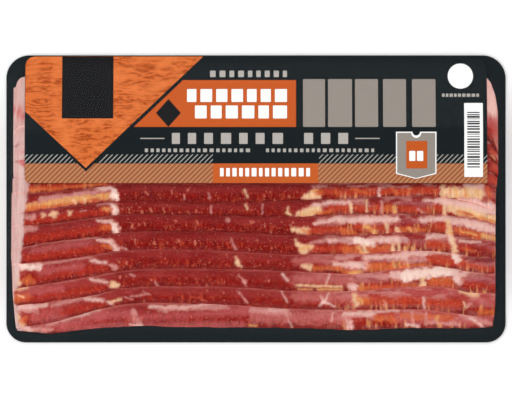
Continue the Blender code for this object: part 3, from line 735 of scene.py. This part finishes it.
def lean(strip, x, y, u, edge):
    """Colour of the lean meat: a cut face with a painted hazy sheen and painted light, and below it a
    redder edge, darker in part by painted shade.
    """
    lower = smoothstep(*LOWER_ZONE, y)
    left = 1 - smoothstep(*LEFT_ZONE, x)
    right = smoothstep(*RIGHT_ZONE, x)
    lit = 0.1 + 0.38 * lower + 0.08 * left + 0.38 * right * (0.4 + lower)
    lit = lit + 0.6 * (layered(x / 14, y / 4, strip) - 0.5) + 0.35 * (noise(x / 42, strip * 3.7, 5) - 0.5)
    face = mixed(np.tile(FACE_DEEP, (len(x), 1)), FACE_LIT, np.clip(lit, 0, 1))
    # Painted highlight along the top of the face, just below the strip above
    rim = smoothstep(0.86, 1.02, u + 0.16 * (layered(x / 12, y / 3, strip + 50) - 0.5))
    face = mixed(face, RIM_HIGHLIGHT, rim * (0.14 + 0.3 * left + 0.35 * lower + 0.2 * right))
    # The cut edge is painted darker towards its foot as shade, and its tone also varies by zone and at
    # random
    edge_light_and_tone = smoothstep(0.0, 0.4, u) * (0.3 + 0.25 * left + 0.4 * right + 0.2 * lower)
    edge_light_and_tone = edge_light_and_tone + 0.8 * (layered(x / 5, y / 5, strip + 20) - 0.5)
    cut = mixed(np.tile(EDGE_DEEP, (len(x), 1)), EDGE_LIT, np.clip(edge_light_and_tone, 0, 1))
    return mixed(face, cut, edge)


def add_flecks(rgb, x, y, strip, edge):
    """Small specks of fat, fibres and darker patches through the lean meat."""
    zone = 0.35 + 0.65 * smoothstep(0.35, 0.7, layered(x / 22, y / 9, 77))
    embers = smoothstep(0.56, 0.78, layered(x / 2.0, y / 4.5, strip + 60))
    rgb = mixed(rgb, EMBER, 0.5 * zone * embers * (0.25 + 0.75 * edge))
    upper_left = (1 - smoothstep(*STREAKED_LEFT, x)) * smoothstep(*STREAKED_UPPER, y)
    streaky = smoothstep(*STREAKED_RIGHT, x) + 0.8 * upper_left
    streaks = smoothstep(0.55, 0.75, layered(x / 2.2, y / 14, strip + 75))
    rgb = mixed(rgb, FAT_STREAK, 0.6 * streaky * streaks * edge)
    marbled = smoothstep(*MARBLED_RIGHT, x) * smoothstep(0.42, 0.68, layered(x / 11, y / 3.4, strip + 200))
    rgb = mixed(rgb, PAINTS["pale"][0], 0.5 * marbled * (1 - 0.75 * edge))
    fibres = layered(x / 7, y / 0.9, strip + 90)
    rgb = rgb * (1 + 0.2 * (fibres - 0.5))[:, None]
    dark = layered(x / 5, y / 2.5, strip + 130)
    return mixed(rgb, DARK_PATCH, 0.45 * smoothstep(0.66, 0.9, dark))


def fat_column(rgb, x, y, column):
    """The pale fat along the left ends, with painted light and shade of ridges that run from strip to
    strip.
    """
    fat = mixed(np.tile(FAT_PAINTED_LIGHT, (len(x), 1)), FAT_PAINTED_SHADE, layered(x / 1.8, y / 16, 31))
    return mixed(rgb, fat, 0.95 * column)


def strip_strokes(strip):
    """Every stroke and fleck of a strip: its paint, then a pixel and a radius at both ends."""
    strokes = [
        (name, *knots[k:k + 6])
        for name, *knots in STROKES[strip] for k in range(0, len(knots) - 3, 3)
    ]
    flecks = [("fleck", x, y - r, 0.8 * r, x + 0.6 * r, y + r, r) for x, y, r in FLECKS.get(strip, ())]
    return strokes + flecks


def paint(strip, x, y, u):
    """Colour of the meat at each point, with how far it is on the cut edge as the fourth value."""
    x, y = x / PX + CENTRE_PX[0], CENTRE_PX[1] - y / PX
    waver = 0.22 * (layered(x / 9, y / 30, 7.0 * strip) - 0.5)
    edge = 1 - smoothstep(0.38, 0.66, u + waver)
    rgb = add_flecks(lean(strip, x, y, u, edge), x, y, strip, edge)
    bend_x = 4.0 * (layered(x / 5.5, y / 4, 11) - 0.5) + 1.5 * (noise(x / 1.7, y / 1.7, 13) - 0.5)
    bend_y = 3.2 * (layered(x / 5, y / 4.5, 23) - 0.5) + 1.4 * (noise(x / 1.6, y / 1.8, 29) - 0.5)
    column = 1 - smoothstep(-1.5, 1.5, x + 0.7 * bend_x - np.interp(y, LEFT_FAT_Y, LEFT_FAT_X))
    # Beside the label the marks lie over the pale fat at the left ends, and below it they lie under it
    beside_label = strip > len(TIP_Y)
    if beside_label:
        rgb = fat_column(rgb, x, y, column)
    patchy = 0.86 + 0.55 * (layered(x / 1.9, y / 4, 37) - 0.5)
    strokes = strip_strokes(strip)
    bold = [0.35 + 0.65 * min(1.0, max(stroke[3], stroke[6]) / BOLD) for stroke in strokes]
    depths = [
        stroke_depth(x + size * bend_x, y + size * bend_y, stroke)
        for stroke, size in zip(strokes, bold)
    ]
    for stroke, size, depth in zip(strokes, bold, depths):
        if stroke[0] in HALOED:
            halo = smoothstep(-HALO_WIDTH * 1.6, 0.5, depth)
            rgb = mixed(rgb, HALO, 0.6 * size**2 * halo)
    for stroke, size, depth in zip(strokes, bold, depths):
        target, cover, soft = PAINTS[stroke[0]]
        soft = soft * (0.4 + 0.6 * size)
        mask = 0.75 * smoothstep(-soft, soft, depth) + 0.25 * smoothstep(0.0, 2.5 * soft, depth)
        rgb = mixed(rgb, target, np.clip(cover * mask * (patchy + 0.15 * mask), 0, 1))
    if not beside_label:
        rgb = fat_column(rgb, x, y, column)
    # Lighter paint at a strip's foot and next to the strip above, where little light gets in
    foot = 0.4 * (1 - smoothstep(0.015, 0.06, u))
    crevice = smoothstep(0.92, 0.985, u) * (1 - smoothstep(1.02, 1.1, u))
    crevice = crevice * (0.48 * layered(x / 5, y / 5, strip + 300) * (1 - column) + 0.3 * column)
    rgb = rgb * (1 + foot + crevice)[:, None]
    return np.concatenate((np.clip(rgb, 0, 1), (edge * (1 - column))[:, None]), axis=1)


# Label, film and board

LABEL_LEFT, LABEL_BOTTOM = px(24.9, 183.0)
LABEL_RIGHT, LABEL_TOP = px(487.0, 55.9)
LABEL_RADII = (6.0 * MM, 5.0 * MM, 3.0 * MM, 1.0 * MM)
LABEL_THICKNESS = 0.4 * MM
LABEL_LANDS = 75.5 * MM
FIRST_LABEL_STRIP = 9
LABEL_CELL = 1.5 * MM
INK_LAYER = 0.03 * MM
# Stations at each end of the strips that the label's profile leaves out
END_STATIONS = 8
# Smoothing passes over a grid of heights, along Y and then along X
LABEL_PASSES = (14, 6)
FILM_PASSES = (9, 4)


def label_profile(x):
    """(Y, Z) knots of the label's underside at one x, from its lower edge up to the pack's top."""
    at = np.searchsorted(STATIONS, np.clip(x, STATIONS[END_STATIONS], STATIONS[-1 - END_STATIONS]))
    crests = [top_height(LAID[k - 1], 0.26)[at] for k in range(FIRST_LABEL_STRIP, STRIPS + 1)]
    plateau = max(crests) + GAP
    last = LAID[-1]
    y = [LABEL_BOTTOM - 1 * MM, across(last, "lines", 0.5)[at]]
    z = [plateau, plateau]
    for i in range(1, STRIP_SPAN + 1):
        y.append(last["lines"][i][at])
        z.append(last["under"][i][at] + last["thick"][at] + GAP)
    y += [LABEL_LANDS, PACK_HALF_Y]
    z += [BOARD_TOP + GAP, BOARD_TOP + GAP]
    return y, z


LABEL_X = np.linspace(LABEL_LEFT, LABEL_RIGHT, 140)
LABEL_Y = np.linspace(LABEL_BOTTOM, LABEL_TOP, 110)


def smoothed(values, passes):
    """A grid of heights, averaged with its neighbours some times along each axis in turn."""
    for axis, times in enumerate(passes):
        for _ in range(times):
            padded = np.concatenate((values.take([0], axis), values, values.take([-1], axis)), axis)
            n = values.shape[axis]
            low, high = padded.take(range(n), axis), padded.take(range(2, n + 2), axis)
            values = 0.25 * low + 0.5 * values + 0.25 * high
    return values


def label_surface():
    """Height of the label's underside over LABEL_Y by LABEL_X."""
    z = np.array([np.interp(LABEL_Y, *label_profile(x)) for x in LABEL_X]).T
    return smoothed(z, LABEL_PASSES)


LABEL_Z = label_surface()


def on_grid(x, y, xs, ys, values):
    """Values of a regular grid at points, between its own."""
    i = np.clip((x - xs[0]) / (xs[1] - xs[0]), 0, len(xs) - 1.001)
    j = np.clip((y - ys[0]) / (ys[1] - ys[0]), 0, len(ys) - 1.001)
    i0, j0 = i.astype(int), j.astype(int)
    u, v = i - i0, j - j0
    low = values[j0, i0] * (1 - u) + values[j0, i0 + 1] * u
    high = values[j0 + 1, i0] * (1 - u) + values[j0 + 1, i0 + 1] * u
    return low * (1 - v) + high * v


def label_top(x, y):
    return on_grid(x, y, LABEL_X, LABEL_Y, LABEL_Z) + LABEL_THICKNESS


def rounded_box(left, right, bottom, top, radii, steps=8):
    """Outline of a box with its four corner radii: top right, top left, bottom left, bottom right."""
    corners = (
        (right, top, -1, -1, 0), (left, top, 1, -1, 90),
        (left, bottom, 1, 1, 180), (right, bottom, -1, 1, 270),
    )
    points = []
    for (x, y, to_x, to_y, start), radius in zip(corners, radii):
        if radius == 0:
            points.append((x, y))
            continue
        centre = (x + to_x * radius, y + to_y * radius)
        for i in range(steps + 1):
            angle = math.radians(start + 90 * i / steps)
            points.append((centre[0] + radius * math.cos(angle), centre[1] + radius * math.sin(angle)))
    return points


def drape(name, outlines, height, cell):
    """Flat outlines cut into the same cells and laid over a surface. height(x, y) gives its Z."""
    mesh = bmesh.new()
    for outline in outlines:
        mesh.faces.new([mesh.verts.new((x, y, 0.0)) for x, y in outline])
    corners = np.array([point for outline in outlines for point in outline])
    for axis in (0, 1):
        normal = [0.0, 0.0, 0.0]
        normal[axis] = 1.0
        first = math.ceil(corners[:, axis].min() / cell) * cell
        for at in np.arange(first, corners[:, axis].max(), cell):
            place = [0.0, 0.0, 0.0]
            place[axis] = at
            geometry = mesh.verts[:] + mesh.edges[:] + mesh.faces[:]
            bmesh.ops.bisect_plane(mesh, geom=geometry, plane_co=place, plane_no=normal)
    mesh.normal_update()
    turned = [face for face in mesh.faces if face.normal.z < 0]
    bmesh.ops.reverse_faces(mesh, faces=turned)
    flat = np.array([v.co[:] for v in mesh.verts])
    for vertex, z in zip(mesh.verts, height(flat[:, 0], flat[:, 1])):
        vertex.co.z = z
    data = bpy.data.meshes.new(name)
    mesh.to_mesh(data)
    mesh.free()
    data.polygons.foreach_set("use_smooth", [True] * len(data.polygons))
    return data


def solidify(piece, thickness):
    """Gives a sheet its thickness, downwards."""
    skin = piece.modifiers.new("thickness", "SOLIDIFY")
    skin.thickness = thickness
    skin.offset = -1.0


def add_label(finish):
    outline = rounded_box(LABEL_LEFT, LABEL_RIGHT, LABEL_BOTTOM, LABEL_TOP, LABEL_RADII)
    data = drape("label_sheet", [outline], label_top, LABEL_CELL)
    label = add_piece("label_sheet", data, finish, ("label_card",))
    solidify(label, LABEL_THICKNESS)


# Print on the label

# Outlines of its larger forms, and the disc's centre and radius, in pixels of the photograph
BORDER = ((25, 115), (25, 60), (205, 56.3), (206.4, 56.3), (86.2, 171.5))
PENNANT = ((25.3, 111.5), (25.3, 64), (27, 60), (30.5, 57.2), (35, 56.3), (203, 56.3), (86, 168))
PLAQUE = ((62, 56.4), (113.4, 56.4), (113.4, 118.5), (62, 118.5))
BANNER = ((183, 80), (296, 80), (296, 127), (134, 127))
MARK = ((168.5, 99), (181, 113), (168.5, 127), (156, 113))
DISC = (460.5, 76, 12.7)
# The hanging tag's left, right, top and foot, the height of its point and the radius of its notch
TAG_SIDES = (397, 435)
TAG_ENDS = (133, 173)
TAG_POINT = 5
TAG_NOTCH = 5
# Left, right, top and bottom of single blocks
DASHES = ((140.5, 164.5, 138, 139), (355, 379.5, 138, 139))
BAR = (213, 318, 163.5, 183)
TAG_FIELD = (406, 427, 141, 168.5)
CODE_GROUND = (464, 482.7, 103, 177)
CODE_BARS = (467, 479.5, 112, 168)
# Left and right of the blocks that stand in a line, and the top and bottom that they share
HATCHED = ((25, 75), (95, 213), (319, 397), (436, 487))
HATCHED_ENDS = (154.5, 163)
LARGE = ((303, 325), (328, 352), (355, 378), (383, 406), (412, 435.5))
LARGE_ENDS = (79, 127)
# The lower band beside the bar: its outer ends, its top and bottom, and its rounded corner
BAND_SIDES = (25, 487)
BAND_ENDS = (163.5, 183)
BAND_CORNER = (30, 178, 5)
# Rows of blocks: left, right, top, bottom, count, gap and, where it isn't 0.7, the corners' radius
SMALL_ROWS = (
    (210, 287, 70.5, 77, 9, 4.0), (172, 283, 133, 144, 7, 8.0), (304, 348, 133, 144, 3, 8.0),
    (145, 250, 148.6, 152.2, 18, 2.6, 0.4), (266, 374, 148.6, 152.2, 19, 2.6, 0.4),
    (442, 479, 93.6, 96.8, 9, 1.2, 0.4),
)
WHITE_ROWS = (
    (187, 287, 89, 102, 7, 4.0), (195, 287, 105.5, 118.5, 6, 4.0), (220, 310, 168, 176.5, 14, 2.4),
)
TAG_ROWS = ((409, 423, 151, 161, 2, 1.6),)


def block(left, right, top, bottom, radius=0.0):
    """Outline of one printed block, given in pixels, with its corners' radius."""
    x0, y0 = px(left, bottom)
    x1, y1 = px(right, top)
    return rounded_box(x0, x1, y0, y1, [radius * PX] * 4, steps=3)


def blocks(left, right, top, bottom, count, gap, radius=0.7):
    """A row of printed blocks of somewhat uneven width."""
    shares = 1 + 0.4 * (hash_grid(np.arange(count), round(top), 3.0) - 0.5)
    widths = shares * (right - left - gap * (count - 1)) / shares.sum()
    starts = left + np.concatenate(((0.0,), np.cumsum(widths + gap)[:-1]))
    return [block(start, start + width, top, bottom, radius) for start, width in zip(starts, widths)]


def all_rows(rows):
    return [outline for row in rows for outline in blocks(*row)]


def shape(pixels):
    """Outline through some pixels of the photograph."""
    return [px(x, y) for x, y in pixels]


def arc(x, y, radius, start, end, steps):
    """Pixels along an arc, in degrees turning from right towards the bottom of the picture."""
    angles = np.radians(np.linspace(start, end, steps + 1))
    return [(x + radius * math.cos(a), y + radius * math.sin(a)) for a in angles]


def tag(grow):
    """Outline of the small hanging tag, with a notch in its top edge and a point at its foot."""
    left, right = TAG_SIDES[0] - grow, TAG_SIDES[1] + grow
    top, foot = TAG_ENDS[0] - grow, TAG_ENDS[1] + 0.7 * grow
    middle = sum(TAG_SIDES) / 2
    notch = arc(middle, top, TAG_NOTCH - grow, 180, 0, 10)
    lower = ((right, foot), (middle, foot + TAG_POINT), (left, foot))
    return shape(((left, top), *notch, (right, top), *lower))


def band():
    """The lower band's two halves, to the left and to the right of the bar."""
    left, right = BAND_SIDES
    top, bottom = BAND_ENDS
    corner = arc(*BAND_CORNER, 180, 90, 6)[::-1]
    left_half = shape((*corner, (left, top), (BAR[0], top), (BAR[0], bottom)))
    return [left_half, block(BAR[1], right, top, bottom)]


def bars(left, right, top, bottom):
    """Bars of uneven thickness, stacked from top to bottom."""
    found, at, i = [], top, 0
    while at < bottom:
        thick = 0.6 + 1.3 * hash_grid(i, 4, 9)
        found.append(block(left, right, at, at + thick))
        at += thick + 0.6 + 1.2 * hash_grid(i, 8, 9)
        i += 1
    return found


HATCH_PITCH = 5.0 * PX
# How far a stripe's edge fades to either side, as a part of the pitch
STRIPE_SOFT = 0.06
KNOT = (*px(42, 102), 0.0)


def print_layers():
    """Name, lift over the card in ink layers, material and outlines of each printed piece."""
    pale = ink_material("pale_grey_ink", (184, 178, 172))
    grey = ink_material("warm_grey_ink", (153, 144, 136))
    white = ink_material("white_ink", (250, 250, 248), 0.98)
    orange = ink_material("orange_ink", (200, 91, 36))
    dark = ink_material("near_black_ink", (24, 24, 26))
    charcoal = ink_material("charcoal_ink", (24, 31, 34))
    pale_hatch = hatch_material("pale_hatch", (186, 182, 175), (26, 32, 35), 0.1)
    tan_hatch = hatch_material("tan_hatch", (188, 141, 107), (160, 92, 56), 0.16)
    bar_ink = ink_material("orange_bar_ink", (203, 96, 42))
    return (
        ("print_pale_hatch", 1, pale_hatch, [block(*sides, *HATCHED_ENDS) for sides in HATCHED]),
        ("print_tan_hatch", 1, tan_hatch, band()),
        ("print_bar", 1, bar_ink, [block(*BAR)]),
        ("print_border", 2, charcoal, [shape(BORDER)]),
        ("print_pennant", 3, woodgrain_material(), [shape(PENNANT)]),
        ("print_plaque", 4, dark, [shape(PLAQUE)]),
        ("print_banner", 4, orange, [shape(BANNER)]),
        ("print_mark", 5, dark, [shape(MARK)]),
        ("print_words", 2, pale, all_rows(SMALL_ROWS) + [block(*dash) for dash in DASHES]),
        ("print_headline", 2, grey, [block(*sides, *LARGE_ENDS, 1.0) for sides in LARGE]),
        ("print_title", 5, white, all_rows(WHITE_ROWS)),
        ("print_tag_rim", 2, white, [tag(1.2)]),
        ("print_tag", 3, grey, [tag(0.0)]),
        ("print_tag_field", 4, orange, [block(*TAG_FIELD, 0.8)]),
        ("print_tag_words", 5, white, all_rows(TAG_ROWS)),
        ("print_disc", 2, white, [shape(arc(*DISC, 0, 352.5, 47))]),
        ("print_code_ground", 2, white, [block(*CODE_GROUND, 0.6)]),
        ("print_code_bars", 3, dark, bars(*CODE_BARS)),
    )


def add_print():
    for name, level, ink, outlines in print_layers():
        data = drape(name, outlines, lambda x, y: label_top(x, y) + level * INK_LAYER, LABEL_CELL)
        add_piece(name, data, ink)


WORN_EDGE = 0.25 * MM


def add_backing(finish):
    outline = rounded_box(
        -PACK_HALF_X, PACK_HALF_X, -PACK_HALF_Y, PACK_HALF_Y,
        (TOP_CORNER, TOP_CORNER, BOTTOM_CORNER, BOTTOM_CORNER), steps=16,
    )
    data = drape("backing_board", [outline], lambda x, y: np.full(len(x), BOARD_TOP), 400 * MM)
    board = add_piece("backing_board", data, finish, ("backing",))
    solidify(board, BOARD_TOP)
    bevel = board.modifiers.new("worn_edge", "BEVEL")
    bevel.width = WORN_EDGE
    bevel.segments = 2


# Inset of the film's edge, its lift over the contents, and over the board and the card where it is sealed
FILM_EDGE = 0.3 * MM
FILM_LIFT = 0.25 * MM
SEAL_LIFT = 0.08 * MM
CARD_SEAL_LIFT = 0.15 * MM
# How far in from its edge the film begins to rise, and where it is at its full height
SEAL_BAND = (0.2 * MM, 1.6 * MM)
FILM_X = np.linspace(FILM_EDGE - PACK_HALF_X, PACK_HALF_X - FILM_EDGE, 281)
FILM_Y = np.linspace(FILM_EDGE - PACK_HALF_Y, PACK_HALF_Y - FILM_EDGE, 216)


def contents_height():
    """Height of what the film covers, over FILM_Y by FILM_X."""
    height = np.full((len(FILM_Y), len(FILM_X)), BOARD_TOP)
    samples = np.concatenate((np.linspace(0, 0.2, 5), np.linspace(0.3, 0.98, 5)))
    for column, x in enumerate(FILM_X):
        at = np.searchsorted(STATIONS, np.clip(x, STATIONS[0], STATIONS[-1]))
        y, z = [], []
        for strip, layer in enumerate(LAID, start=1):
            if LEFT_END[strip - 1] < x < RIGHT_END[strip - 1]:
                us = samples if strip < STRIPS else np.concatenate((samples, (1.5, 2.0, 3.0, 3.98)))
                y += [across(layer, "lines", u)[at] for u in us]
                z += [top_height(layer, u)[at] for u in us]
        if y:
            inside = (FILM_Y > y[0]) & (FILM_Y < y[-1])
            height[inside, column] = np.interp(FILM_Y[inside], y, z)
    x, y = np.meshgrid(FILM_X, FILM_Y)
    on_label = (x > LABEL_LEFT) & (x < LABEL_RIGHT) & (y > LABEL_BOTTOM) & (y < LABEL_TOP)
    height[on_label] = label_top(x[on_label], y[on_label]) + 6 * INK_LAYER
    return height


def highest_near(values, reach, axis):
    """The greatest value within some steps along an axis."""
    best = values
    n = values.shape[axis]
    for shift in range(-reach, reach + 1):
        index = np.clip(np.arange(n) + shift, 0, n - 1)
        best = np.maximum(best, values.take(index, axis))
    return best


def corner_width(y):
    """Half the film's width at y, inside the board's rounded corners."""
    half = PACK_HALF_Y - FILM_EDGE
    radius = np.where(y > 0, TOP_CORNER, BOTTOM_CORNER)
    into = np.clip(radius - (half - np.abs(y)), 0, radius)
    return PACK_HALF_X - FILM_EDGE - radius + np.sqrt(radius**2 - into**2)


def add_film(finish):
    """The film, drawn down over the contents and sealed flat to the board round them."""
    z = highest_near(highest_near(contents_height(), 2, 0), 1, 1)
    z = smoothed(z, FILM_PASSES) + FILM_LIFT
    x, y = np.meshgrid(FILM_X, FILM_Y)
    from_edge = np.minimum(PACK_HALF_X - np.abs(x), PACK_HALF_Y - np.abs(y)) - FILM_EDGE
    risen = smoothstep(*SEAL_BAND, from_edge)
    z = BOARD_TOP + SEAL_LIFT + (z - BOARD_TOP - SEAL_LIFT) * risen
    top_seal = (y > LABEL_LANDS) & (np.abs(x) < LABEL_RIGHT)
    z[top_seal] = np.maximum(z[top_seal], BOARD_TOP + GAP + LABEL_THICKNESS + CARD_SEAL_LIFT)
    x = x * (corner_width(FILM_Y) / (PACK_HALF_X - FILM_EDGE))[:, None]
    points = np.stack((x, y, z), axis=-1).reshape(-1, 3)
    data = mesh_from("film_skin", points, grid_faces(len(FILM_Y), len(FILM_X)))
    add_piece("film_skin", data, finish, ("clear_film",))


# Floor, lights and camera

FLOOR_REACH = 3.0
FLOOR_GAP = 0.2 * MM


def add_floor():
    nodes = Nodes("pale_floor")
    grain = nodes.noise((40, 40, 40), 2.0)
    white = nodes.mix(grain, (0.97, 0.97, 0.97, 1.0), (0.99, 0.99, 0.99, 1.0))
    corners = [(FLOOR_REACH * x, FLOOR_REACH * y, 0) for x, y in ((-1, -1), (1, -1), (1, 1), (-1, 1))]
    data = mesh_from("floor", corners, [(0, 1, 2, 3)])
    data.materials.append(nodes.finish(Base_Color=white, Roughness=0.8))
    floor = bpy.data.objects.new("floor", data)
    floor.location.z = -FLOOR_GAP
    bpy.context.scene.collection.objects.link(floor)


# Strength of the light from all round and from straight overhead, and the heights (as the sine of the
# angle over the floor) between which the one fades into the other
RING_STRENGTH = 1.27
TOP_STRENGTH = 0.35
RING_TOP = 0.75
DARK_FROM = 0.93
KEY_PLACE = (-1.1, 0.15, 0.85)
KEY_SIZE = (0.6, 0.3)
KEY_POWER = 3.5


def add_key_light():
    """A weak lamp up to the left of the pack, aimed at its middle."""
    lamp = bpy.data.lights.new("key", "AREA")
    lamp.shape = "RECTANGLE"
    lamp.size, lamp.size_y = KEY_SIZE
    lamp.energy = KEY_POWER
    light = bpy.data.objects.new("key", lamp)
    light.location = KEY_PLACE
    to_x, to_y, to_z = (-at for at in KEY_PLACE)
    light.rotation_euler = (
        math.atan2(math.hypot(to_x, to_y), -to_z), 0.0, math.atan2(to_x, -to_y) + math.pi,
    )
    bpy.context.scene.collection.objects.link(light)


def add_lighting():
    """Soft, even light from all round, dim straight overhead only, and the key lamp."""
    world = bpy.data.worlds.new("studio")
    bpy.context.scene.world = world
    world.use_nodes = True
    tree = world.node_tree
    direction = tree.nodes.new("ShaderNodeTexCoord").outputs["Generated"]
    split = tree.nodes.new("ShaderNodeSeparateXYZ")
    tree.links.new(direction, split.inputs["Vector"])
    height = tree.nodes.new("ShaderNodeMapRange")
    height.interpolation_type = "SMOOTHSTEP"
    tree.links.new(split.outputs["Z"], height.inputs["Value"])
    height.inputs["From Min"].default_value = RING_TOP
    height.inputs["From Max"].default_value = DARK_FROM
    height.inputs["To Min"].default_value = RING_STRENGTH
    height.inputs["To Max"].default_value = TOP_STRENGTH
    tree.links.new(height.outputs["Result"], tree.nodes["Background"].inputs["Strength"])
    tree.nodes["Background"].inputs["Color"].default_value = (1.0, 1.0, 1.0, 1.0)
    add_key_light()
    bpy.context.scene.view_settings.view_transform = "Standard"


CAMERA_HEIGHT = 6.0
CLIP_END = 20.0


def add_camera():
    """Straight above, with the photograph's frame level with the middle of the pack's depth."""
    camera = bpy.data.cameras.new("camera")
    plane = 0.5 * cad_box[1][2]
    width = PHOTO_PX[0] * PX
    camera.lens = camera.sensor_width * (CAMERA_HEIGHT - plane) / width
    camera.clip_end = CLIP_END
    eye = bpy.data.objects.new("camera", camera)
    middle = px(PHOTO_PX[0] / 2, PHOTO_PX[1] / 2)
    eye.location = (*middle, CAMERA_HEIGHT)
    bpy.context.scene.collection.objects.link(eye)
    bpy.context.scene.camera = eye


def main():
    add_camera()
    add_lighting()
    add_floor()
    bacon = bacon_material()
    for strip in range(1, STRIPS + 1):
        add_strip(strip, bacon)
    add_label(charcoal_material("charcoal_card", (24, 31, 34)))
    add_print()
    add_backing(charcoal_material("charcoal_board", (27, 34, 37)))
    add_film(film_material())


main()
